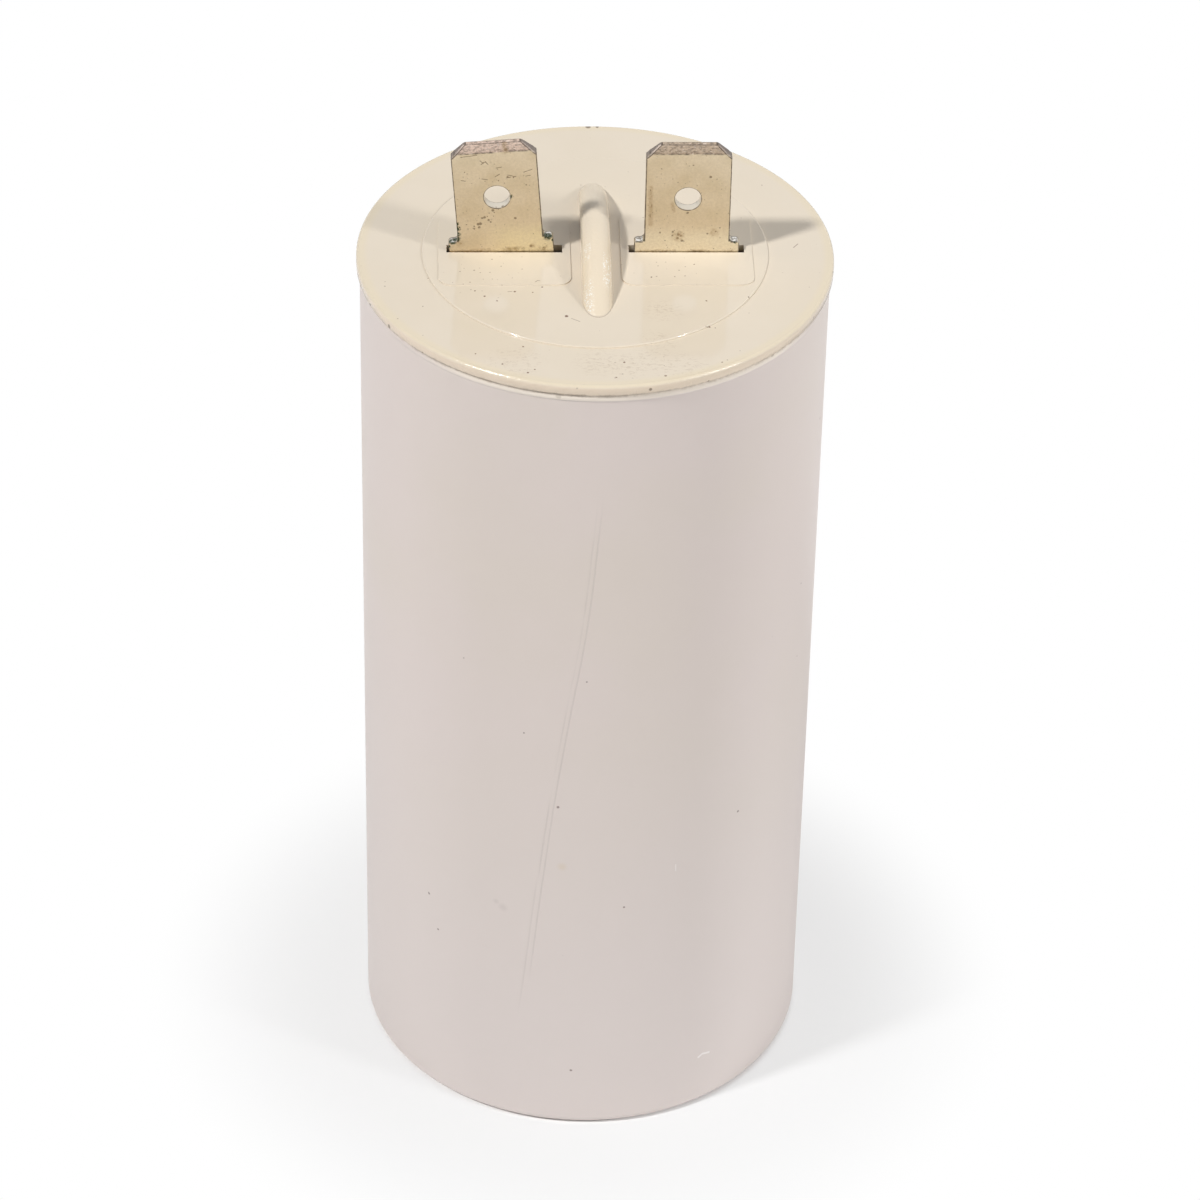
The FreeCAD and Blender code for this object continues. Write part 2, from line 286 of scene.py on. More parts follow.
def make_cover():
    """Flanged plug cover with its disc, pads, slots, bosses and barrier."""
    edge_radius = cover_radius - cover_edge_round
    profile = [(0, plug_bottom), (0, disc_top)]
    profile += arc(disc_radius - disc_edge_round, disc_top - disc_edge_round, disc_edge_round, 90, 0, 6)
    profile.append((disc_radius, cover_top))
    profile += arc(edge_radius, cover_top - cover_edge_round, cover_edge_round, 90, 0, 10)
    lower_break = 0.05
    profile += [(cover_radius, can_height + lower_break), (cover_radius - lower_break, can_height),
                (plug_radius, can_height), (plug_radius, skirt_bottom + skirt_lead_in),
                (plug_radius - skirt_lead_in, skirt_bottom), (plug_radius - skirt_wall, skirt_bottom),
                (plug_radius - skirt_wall, plug_bottom)]
    cover = turned(profile)
    for side in (-1, 1):
        x = side * terminal_spacing / 2
        pad_outline = rounded_rectangle(x, pad_length, pad_width, pad_corner, 12)
        pad = upright(pad_outline, cover_top - OVERLAP, pad_top)
        boss_outline = rounded_rectangle(x, slot_length + 2 * boss_margin, slot_width + 2 * boss_margin,
                                         boss_margin / 2, 6)
        boss = upright(boss_outline, boss_bottom, plug_bottom + OVERLAP)
        cover = combined(combined(cover, pad, "UNION"), boss, "UNION")
    cover = combined(cover, make_barrier(), "UNION")
    for side in (-1, 1):
        x = side * terminal_spacing / 2
        slot_outline = rectangle(x - slot_length / 2, -slot_width / 2, x + slot_length / 2, slot_width / 2)
        slot = upright(slot_outline, boss_bottom - PAST, pad_top + PAST)
        cover = combined(cover, slot, "DIFFERENCE")
    cover = cleaned(cover)

    def on_barrier(p):
        within = abs(p.x) < barrier_thickness / 2 + NEAR and abs(p.y) < barrier_half_length + NEAR
        return within and p.z > disc_top - NEAR

    def on_slot(p):
        return p.z > pad_top - NEAR and abs(p.y) < slot_width / 2 + NEAR

    def on_step(p):
        return p.z > cover_top - NEAR and math.hypot(p.x, p.y) < disc_radius + NEAR and not on_slot(p)

    cover = softened(cover, barrier_edge_round, 4, on_barrier)
    cover = softened(cover, slot_edge_round, 3, on_slot)
    return softened(cover, step_edge_round, 2, lambda p: on_step(p) and not on_barrier(p))


def terminal_outline():
    """Half outline from tip to tail, with its mirror image, as (x, z) points."""
    blade = blade_width / 2
    shoulder = shoulder_width / 2
    tail = tail_width / 2
    half = [(blade - tip_chamfer, tip_top), (blade, tip_top - tip_chamfer)]
    half += arc(blade + shoulder_fillet, shoulder_top + shoulder_fillet, shoulder_fillet, 180, 270, 10)
    half += arc(shoulder - shoulder_round, shoulder_top - shoulder_round, shoulder_round, 90, 0, 8)
    half += [(shoulder, stop_top), (stop_width / 2, stop_top), (stop_width / 2, stop_bottom)]
    half.append((tail, stop_bottom))
    half += arc(tail - tail_round, tail_bottom + tail_round, tail_round, 0, -90, 8)
    return half + [(-x, z) for x, z in reversed(half)]


def make_terminal():
    """Stamped tab: coined tip, detent hole, shoulders, stop and tail."""
    half = sheet / 2
    terminal = across(terminal_outline(), -half, half)
    holes = ((tip_top - blade_hole_from_tip, blade_hole_radius),
             (tail_bottom + tail_width / 2, tail_hole_radius))
    for z, radius in holes:
        circle = arc(0, z, radius, 0, 360 - 360 / HOLE_FACETS, HOLE_FACETS - 1)
        terminal = combined(terminal, across(circle, -PAST, PAST), "DIFFERENCE")
    land = half - tip_coin_depth
    slope = tip_coin_depth / tip_coin_length
    for side in (-1, 1):
        outside = side * (half + PAST)
        wedge = [(outside, coin_bottom), (side * half, coin_bottom),
                 (side * (land - slope * PAST), tip_top + PAST), (outside, tip_top + PAST)]
        tool = lofted([[(x, y, z) for y, z in wedge] for x in (-blade_width, blade_width)])
        terminal = combined(terminal, tool, "DIFFERENCE")

    def on_corner(p):
        beside = blade_width / 2 - tip_chamfer < abs(p.x) < blade_width / 2
        return beside and abs(p.y) > NEAR and p.z > tip_top - tip_chamfer

    terminal = softened(cleaned(terminal), tip_edge_break, 1, on_corner, 60)
    return softened(terminal, stamped_edge_round, 2, lambda p: True, 35)


def piece(name, bm, node, material, placement=Matrix.Identity(4)):
    """Scales a mesh to metres, places it and lets it stand for its CAD node."""
    bmesh.ops.scale(bm, vec=(MM, MM, MM), verts=bm.verts)
    for face in bm.faces:
        face.smooth = True
    obj = as_object(name, bm)
    obj.matrix_world = placement
    obj.data.materials.append(material)
    normals = obj.modifiers.new("even shading", "WEIGHTED_NORMAL")
    normals.weight = 80
    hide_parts(node)
    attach(obj, "root")
    return obj


def feed(tree, socket, value):
    """Links another node's output to a socket, or sets the socket's own value."""
    if isinstance(value, bpy.types.NodeSocket):
        tree.links.new(value, socket)
    else:
        socket.default_value = value


def add_node(tree, kind, inputs=None, **settings):
    """A new node with its settings made and its inputs fed."""
    node = tree.nodes.new(kind)
    for name, value in settings.items():
        setattr(node, name, value)
    for key, value in (inputs or {}).items():
        feed(tree, node.inputs[key], value)
    return node


class Surface:
    """A procedural material: one shader and the nodes that feed it. Places are in millimetres."""

    def __init__(self, name, **constants):
        self.material = bpy.data.materials.new(name)
        self.material.use_nodes = True
        self.tree = self.material.node_tree
        self.shader = self.tree.nodes["Principled BSDF"]
        for socket, value in constants.items():
            self.shader.inputs[socket.replace("_", " ")].default_value = value
        coordinates = self.node("ShaderNodeTexCoord")
        self.place = self.scaled(coordinates.outputs["Object"], 1 / MM)

    def node(self, kind, inputs=None, **settings):
        return add_node(self.tree, kind, inputs, **settings)

    def math(self, operation, a, b=0.0, c=0.0):
        return self.node("ShaderNodeMath", {0: a, 1: b, 2: c}, operation=operation).outputs[0]

    def times(self, first, *others):
        for other in others:
            first = self.math("MULTIPLY", first, other)
        return first

    def most(self, first, *others):
        for other in others:
            first = self.math("MAXIMUM", first, other)
        return first

    def vector(self, operation, a, b):
        return self.node("ShaderNodeVectorMath", {0: a, 1: b}, operation=operation).outputs[0]

    def scaled(self, vector, factor):
        return self.node("ShaderNodeVectorMath", {0: vector, 3: factor}, operation="SCALE").outputs[0]

    def axes(self, vector=None):
        node = self.node("ShaderNodeSeparateXYZ", {0: vector or self.place})
        return node.outputs[0], node.outputs[1], node.outputs[2]

    def distance(self, point, place=None):
        measured = self.node("ShaderNodeVectorMath", {0: place or self.place, 1: point}, operation="DISTANCE")
        return measured.outputs["Value"]

    def noise(self, scale, detail=3.0, roughness=0.55, place=None, output="Fac"):
        """Noise with so many features a millimetre."""
        inputs = {"Vector": place or self.place, "Scale": scale, "Detail": detail, "Roughness": roughness}
        return self.node("ShaderNodeTexNoise", inputs).outputs[output]

    def ragged(self, scale, reach):
        """The place pushed about by noise, which gives marks an uneven outline."""
        push = self.vector("SUBTRACT", self.noise(scale, 2, output="Color"), (0.5, 0.5, 0.5))
        return self.vector("ADD", self.place, self.vector("MULTIPLY", push, (reach, reach, reach)))

    def step(self, value, low, high):
        """A smooth rise from 0 to 1 between two values, or a fall where the first is the larger."""
        inputs = {"Value": value, "From Min": low, "From Max": high}
        return self.node("ShaderNodeMapRange", inputs, interpolation_type="SMOOTHSTEP").outputs[0]

    def band(self, value, centre, reach):
        """A mask of the values within reach of a centre."""
        away = self.math("ABSOLUTE", self.math("SUBTRACT", value, centre))
        return self.step(away, 1.4 * reach, 0.6 * reach)

    def mix(self, amount, a, b):
        a, b = (c if isinstance(c, bpy.types.NodeSocket) else (*c, 1.0) for c in (a, b))
        return self.node("ShaderNodeMix", {0: amount, 6: a, 7: b}, data_type="RGBA").outputs[2]

    def spots(self, places, place=None, softness=0.35):
        """A mask of round spots, each one (x, y, z, radius)."""
        nearest = FAR
        for x, y, z, radius in places:
            share = self.math("DIVIDE", self.distance((x, y, z), place), radius)
            nearest = self.math("MINIMUM", nearest, share)
        return self.step(nearest, 1 + softness, 1 - softness)

    def strokes(self, lines, place=None, softness=0.35):
        """A mask of straight strokes, each one (start, end, half width)."""
        nearest = FAR
        for start, end, radius in lines:
            way = Vector(end) - Vector(start)
            offset = self.vector("SUBTRACT", place or self.place, start)
            inputs = {0: offset, 1: way / way.length_squared}
            along = self.node("ShaderNodeVectorMath", inputs, operation="DOT_PRODUCT").outputs["Value"]
            share = self.node("ShaderNodeClamp", {"Value": along}).outputs[0]
            away = self.distance(self.scaled(way, share), offset)
            nearest = self.math("MINIMUM", nearest, self.math("DIVIDE", away, radius))
        return self.step(nearest, 1 + softness, 1 - softness)

    def sprinkle(self, scale, share, radius, place=None, dimensions="3D"):
        """A mask of scattered specks: cells a millimetre, the share that holds one, the largest radius."""
        cells = self.node("ShaderNodeTexVoronoi", {"Vector": place or self.place, "Scale": scale},
                          voronoi_dimensions=dimensions)
        chance, size = self.axes(cells.outputs["Color"])[:2]
        reach = self.math("MULTIPLY_ADD", size, 0.7 * radius * scale, 0.3 * radius * scale)
        near = self.step(self.math("DIVIDE", cells.outputs["Distance"], reach), 1.3, 0.7)
        return self.times(near, self.step(chance, share + 0.01, share))

    def bump(self, height, distance, strength=1.0, before=None):
        inputs = {"Height": height, "Distance": distance * MM, "Strength": strength}
        if before:
            inputs["Normal"] = before
        return self.node("ShaderNodeBump", inputs).outputs[0]

    def finish(self, **fed):
        for socket, value in fed.items():
            feed(self.tree, self.shader.inputs[socket.replace("_", " ")], value)
        return self.material


def on_wall(angle, height, radius):
    """A spot on the can's wall, at an angle to the right of the front."""
    turn = math.radians(angle)
    return (can_radius * math.sin(turn), -can_radius * math.cos(turn), height, radius)


def can_plastic():
    """Satin moulded plastic with a long crease, a nick, a scratch and a few specks."""
    s = Surface("can_plastic", IOR=1.5)
    x, y, z = s.axes()
    angle = s.math("MULTIPLY", s.math("ARCTAN2", x, s.math("MULTIPLY", y, -1.0)), math.degrees(1))
    cloud = s.step(s.noise(0.05, 2), 0.35, 0.65)
    colour = s.mix(cloud, (0.675, 0.600, 0.545), (0.685, 0.603, 0.567))
    colour = s.mix(s.step(z, 55, 5), colour, (0.690, 0.620, 0.590))

    # Painted highlight: the bead under the cover is paler in front, where the lamps catch it
    bead = s.times(s.step(z, can_height - 0.65, can_height - 0.48), s.step(angle, -52, -30),
                   s.step(angle, 64, 46))
    colour = s.mix(s.times(bead, 0.95), colour, (0.83, 0.745, 0.65))

    # The crease runs along (height, angle) points, with fainter lines on its left, and its curve
    # covers a span of angles about the front
    route = [(5, -19.5), (11.7, -16.5), (23.3, -12.7), (33.3, -9.2), (40.3, -6.2), (49.7, -2.0), (58.3, 0.4),
             (68, 2.6)]
    span = 60.0
    curve = s.node("ShaderNodeFloatCurve", {"Value": s.math("DIVIDE", z, can_height)})
    line = curve.mapping.curves[0]
    for point, (height, side) in zip(line.points, (route[0], route[-1])):
        point.location = (height / can_height, side / span + 0.5)
    for height, side in route[1:-1]:
        line.points.new(height / can_height, side / span + 0.5)
    curve.mapping.update()
    crease = s.math("MULTIPLY_ADD", curve.outputs[0], span, -span / 2)
    beside = s.math("SUBTRACT", angle, crease)
    faint = s.step(s.noise(0.15, 2), 0.35, 0.6)
    lines = s.most(s.times(s.band(beside, 0.0, 0.18), s.step(z, 14, 18)),
                   s.times(s.band(beside, -1.2, 0.18), faint, s.step(z, 24, 27)),
                   s.times(s.band(beside, -1.5, 0.20), s.step(z, 26, 23), 0.75))
    lines = s.times(lines, s.times(s.step(z, 10, 15), s.step(z, 62, 56)))
    colour = s.mix(s.times(lines, 0.20), colour, (0.42, 0.37, 0.36))

    # Specks at (angle, height, radius), smudges, a stain, a nick and a scratch
    ragged = s.ragged(4.0, 0.1)
    dots = [(-8.6, 32.2, 0.11), (-45.4, 19.6, 0.11), (-42.2, 16.5, 0.09), (8.6, 22.3, 0.09),
            (40.7, 28.5, 0.10), (-4.1, 5.7, 0.10), (-34.0, 44.3, 0.06), (-2.0, 44.3, 0.07),
            (76.2, 58.9, 0.11), (65.6, 45.8, 0.07), (-17.5, 38.9, 0.07), (150, 40, 0.10),
            (-120, 25, 0.11), (105, 14, 0.10)]
    specks = s.spots([on_wall(*dot) for dot in dots], ragged)
    dust = s.sprinkle(0.45, 0.12, 0.09, ragged)
    colour = s.mix(s.times(s.most(specks, s.times(dust, 0.5)), 0.75), colour, (0.16, 0.10, 0.09))
    smudges = s.spots([on_wall(-22.6, 21.4, 0.3), on_wall(-24.5, 21.8, 0.2), on_wall(80, 30, 0.3)],
                      ragged, 0.8)
    colour = s.mix(s.times(smudges, 0.14), colour, (0.30, 0.24, 0.23))
    stain = s.spots([on_wall(-7.35, 26.4, 0.3)], ragged, 0.8)
    colour = s.mix(s.times(stain, 0.2), colour, (0.60, 0.45, 0.22))
    nick = s.strokes([((8.9, -14.9, 4.85), (9.2, -14.7, 5.05), 0.09),
                      ((9.2, -14.7, 5.05), (9.75, -14.35, 4.9), 0.09)], softness=0.5)
    scratch = s.strokes([((6.51, -16.08, 25.65), (6.53, -16.08, 25.05), 0.045)], softness=0.5)
    marks = s.most(nick, s.times(scratch, 0.6))
    colour = s.mix(s.times(marks, 0.8), colour, (0.88, 0.84, 0.82))

    # Dirt in the joint under the cover, and a chip in the bead
    edge = s.axes(s.ragged(2.5, 0.25))[2]
    patchy = s.step(s.noise(0.8, 4, 0.65), 0.32, 0.6)
    grime = s.times(s.step(edge, can_height - 0.30, can_height - 0.10), patchy)
    blots = s.times(s.sprinkle(0.75, 0.5, 0.3, ragged), s.step(edge, can_height - 0.5, can_height - 0.25))
    chip = s.spots([(-3.04, -17.18, can_height - 0.3, 0.20)], ragged)
    more_at_right = {"Value": angle, "From Min": 40, "From Max": 75, "To Min": 0.42, "To Max": 0.75}
    grime = s.times(grime, s.node("ShaderNodeMapRange", more_at_right).outputs[0])
    colour = s.mix(s.most(grime, s.times(blots, 0.6), s.times(chip, 0.3)), colour, (0.26, 0.185, 0.12))

    rise = s.math("MULTIPLY_ADD", lines, -1.3, s.math("MULTIPLY", s.most(marks, chip), -1.2))
    normal = s.bump(rise, 0.012, before=s.bump(s.noise(2.2, 4), 0.006))
    roughness = s.math("MULTIPLY_ADD", s.noise(0.06, 3), 0.1, 0.36)
    return s.finish(Base_Color=colour, Roughness=roughness, Normal=normal)


def cover_plastic():
    """Glossy moulded plastic with a grained barrier, specks, scuffs by the front and dirt at the joint."""
    s = Surface("cover_plastic", IOR=1.6)
    x, y, z = s.axes()
    aside = s.math("ABSOLUTE", x)
    flat = s.vector("MULTIPLY", s.place, (1, 1, 0))
    out = s.distance((0, 0, 0), flat)
    cloud = s.step(s.noise(0.12, 3), 0.35, 0.65)
    colour = s.mix(cloud, (0.775, 0.680, 0.545), (0.790, 0.695, 0.565))

    # Specks at (x, y, radius), hairs, and dust that is thickest in three patches
    ragged = s.vector("MULTIPLY", s.ragged(5.0, 0.09), (1, 1, 0))
    dark = [(-2.3, -8.8, 0.13), (-8.2, -6.2, 0.08), (-7.3, -6.8, 0.06), (-8.9, -5.5, 0.06),
            (-6.0, -5.6, 0.09), (-4.7, -5.7, 0.06), (-4.0, -5.0, 0.07), (-12.3, -3.6, 0.05),
            (-14.5, -8.9, 0.06), (-5.5, -12.5, 0.07), (-8.9, -13.4, 0.06), (-7.0, -14.7, 0.07),
            (-5.2, -15.8, 0.09), (-4.7, -15.4, 0.06), (1.7, -14.5, 0.09), (1.1, -16.4, 0.06),
            (4.0, -3.8, 0.07), (7.2, -2.1, 0.06), (7.9, -6.8, 0.07), (11.0, -6.3, 0.07),
            (8.0, -10.0, 0.07), (8.4, -10.1, 0.05), (4.6, -16.2, 0.10), (8.7, -14.5, 0.07),
            (9.1, -14.2, 0.05)]
    specks = s.spots([(px, py, 0, radius) for px, py, radius in dark], ragged, 0.25)
    hairs = s.strokes([((-1.95, -9.1, 0), (-1.35, -9.5, 0), 0.028), ((14.65, 0.5, 0), (15.0, 1.0, 0), 0.035),
                       ((-6.5, -5.6, 0), (-6.2, -5.55, 0), 0.03), ((-4.5, -4.45, 0), (-4.3, -4.25, 0), 0.03),
                       ((-4.3, -4.25, 0), (-4.15, -4.3, 0), 0.03), ((7.7, -10.1, 0), (8.0, -10.0, 0), 0.03)],
                      flat)
    above = s.step(z, can_height + 0.6, can_height + 0.75)
    peppered = s.spots([(-8.3, -3.4, 0, 2.6), (5.6, -2.8, 0, 1.9), (1.2, -15.6, 0, 1.3)], flat, 0.3)
    dust = s.times(s.sprinkle(1.1, 0.08, 0.06, ragged, "2D"), s.step(s.noise(0.18, 2), 0.40, 0.56))
    dust = s.most(dust, s.times(s.sprinkle(1.4, 0.5, 0.075, ragged, "2D"), peppered, above))
    colour = s.mix(s.times(s.most(specks, s.times(hairs, 0.7)), above, 0.95), colour, (0.20, 0.11, 0.07))
    colour = s.mix(s.times(dust, 0.65), colour, (0.30, 0.21, 0.15))

    # Scuffs by the front
    patches = s.spots([(-0.1, -14.5, 0, 1.6), (-6.1, -14.4, 0, 1.8), (1.9, -15.0, 0, 1.5),
                       (5.9, -15.5, 0, 1.9), (4.7, -8.1, 0, 1.3), (4.2, -12.2, 0, 1.2),
                       (3.7, -14.2, 0, 1.4)], flat, 0.5)
    streaky = s.vector("MULTIPLY", s.ragged(2.0, 0.3), (0.5, 1, 1))
    scuffs = s.times(patches, s.step(s.noise(5.5, 4, 0.75, streaky), 0.50, 0.66))
    colour = s.mix(s.times(scuffs, 0.42), colour, (0.50, 0.39, 0.29))

    # The low sides of the disc and the pads: a painted highlight makes them pale; beside the barrier the
    # pads' sides are darker
    disc_side = s.band(z, (cover_top + disc_top) / 2, 0.05)
    pad_side = s.band(z, (disc_top + pad_top) / 2, 0.022)
    steps = s.most(s.times(disc_side, s.step(out, disc_radius - 0.4, disc_radius - 0.3)),
                   s.times(pad_side, s.step(aside, 2.2, 2.5)))
    colour = s.mix(s.times(steps, 0.6), colour, (0.93, 0.84, 0.70))
    inner_steps = s.times(pad_side, s.step(aside, 2.1, 2.0))
    colour = s.mix(s.times(inner_steps, 0.5), colour, (0.34, 0.26, 0.20))

    # A yellower margin and rim, with dirt towards the joint
    margin = s.times(s.step(out, cover_radius - 1.0, cover_radius - 0.4), above)
    colour = s.mix(s.times(margin, 0.6), colour, (0.80, 0.69, 0.50))
    side = s.step(z, cover_top - 0.05, cover_top - 0.3)
    wall = s.times(side, s.step(out, can_radius - 0.2, can_radius))
    colour = s.mix(s.times(wall, 0.9), colour, (0.750, 0.622, 0.485))
    edge = s.axes(s.ragged(2.5, 0.25))[2]
    outer = s.step(out, can_radius - 0.4, can_radius - 0.2)
    patchy = s.step(s.noise(0.8, 4, 0.65), 0.32, 0.6)
    grime = s.times(outer, s.step(edge, can_height + 0.14, can_height + 0.02), patchy)
    right = s.times(s.step(x, 12.5, 16.8), s.step(z, can_height + 0.6, can_height + 0.2), outer)
    blots = s.times(outer, s.sprinkle(0.8, 0.5, 0.3, s.ragged(3.0, 0.3)),
                    s.step(z, can_height + 0.35, can_height + 0.1))
    rim_dots = s.spots([(3.5, -17.25, 70.55, 0.12), (17.4, -2.6, 70.75, 0.14), (17.35, -3.0, 70.45, 0.12),
                        (-16.5, -6.1, 70.35, 0.12), (-15.1, -9.0, 70.4, 0.16), (-12.7, -12.2, 70.25, 0.10),
                        (7.7, -15.8, 70.25, 0.10), (15.7, -8.0, 70.5, 0.10), (-0.1, 17.35, 70.95, 0.2),
                        (0.6, 17.35, 70.95, 0.14)], s.ragged(4.0, 0.15))
    dirt = s.most(s.times(grime, 0.5), s.times(blots, 0.7), s.times(rim_dots, 0.85), s.times(right, 0.45),
                  s.times(side, s.sprinkle(1.1, 0.12, 0.10, s.ragged(5.0, 0.1)), 0.6))
    colour = s.mix(dirt, colour, (0.19, 0.13, 0.08))

    # Painted shade inside the slots and on the hidden parts below the cover's top
    slot_shade = s.times(s.step(z, cover_top - 0.1, cover_top - 0.5),
                      s.step(out, can_radius - 1.5, can_radius - 1.7))
    colour = s.mix(s.times(slot_shade, 0.75), colour, (0.10, 0.07, 0.045))

    # The barrier's crown is paler and grained, with painted glints where the lamps catch the grain
    arch_centre = (0, 0, disc_top + barrier_rise - barrier_arc_radius)
    arch = s.distance(arch_centre, s.vector("MULTIPLY", s.place, (0, 1, 1)))
    crown = s.times(s.step(arch, barrier_arc_radius - 0.9, barrier_arc_radius - 0.45),
                    s.step(aside, 1.15, 1.0), s.step(z, disc_top + 0.02, disc_top + 0.15))
    colour = s.mix(s.times(crown, 0.6), colour, (0.86, 0.735, 0.56))
    lamp_glint_zones = s.most(s.times(s.step(x, 0.30, 0.50), s.step(y, -6.9, -6.0), s.step(y, -3.0, -4.2)),
                 s.times(s.step(x, -0.20, -0.45), s.step(y, -9.0, -8.4), s.step(y, -5.6, -6.4), 0.8),
                 s.times(s.step(x, -0.30, -0.55), s.step(y, -4.4, -3.8), s.step(y, -2.0, -2.8), 0.6))
    painted_glitter = s.times(crown, lamp_glint_zones, s.sprinkle(7.5, 0.8, 0.075))
    colour = s.mix(painted_glitter, colour, (1.0, 0.98, 0.93))

    # Relief and gloss: slow waves, fine texture, and grain on the crown and rim
    rim = s.step(out, cover_radius - cover_edge_round - 0.1, cover_radius - cover_edge_round + 0.1)
    waves = s.bump(s.noise(0.22, 2), 0.018)
    fine = s.bump(s.noise(3.0, 3), 0.0015, before=waves)
    grain = s.noise(5.0, 1, 0.5)
    normal = s.bump(s.times(grain, s.most(s.times(crown, 0.3), s.times(rim, 0.25))), 0.12, before=fine)
    roughness = s.math("MULTIPLY_ADD", s.noise(0.3, 3), 0.08, 0.05)
    roughness = s.math("ADD", roughness, s.math("MULTIPLY_ADD", rim, 0.06, s.times(scuffs, 0.15)))
    roughness = s.math("MULTIPLY_ADD", crown, 0.25, roughness)
    return s.finish(Base_Color=colour, Roughness=roughness, Normal=normal)


def on_front(marks):
    """Spots on a blade's front face from (x, z, radius) marks."""
    return [(x, -sheet / 2, z, radius) for x, z, radius in marks]


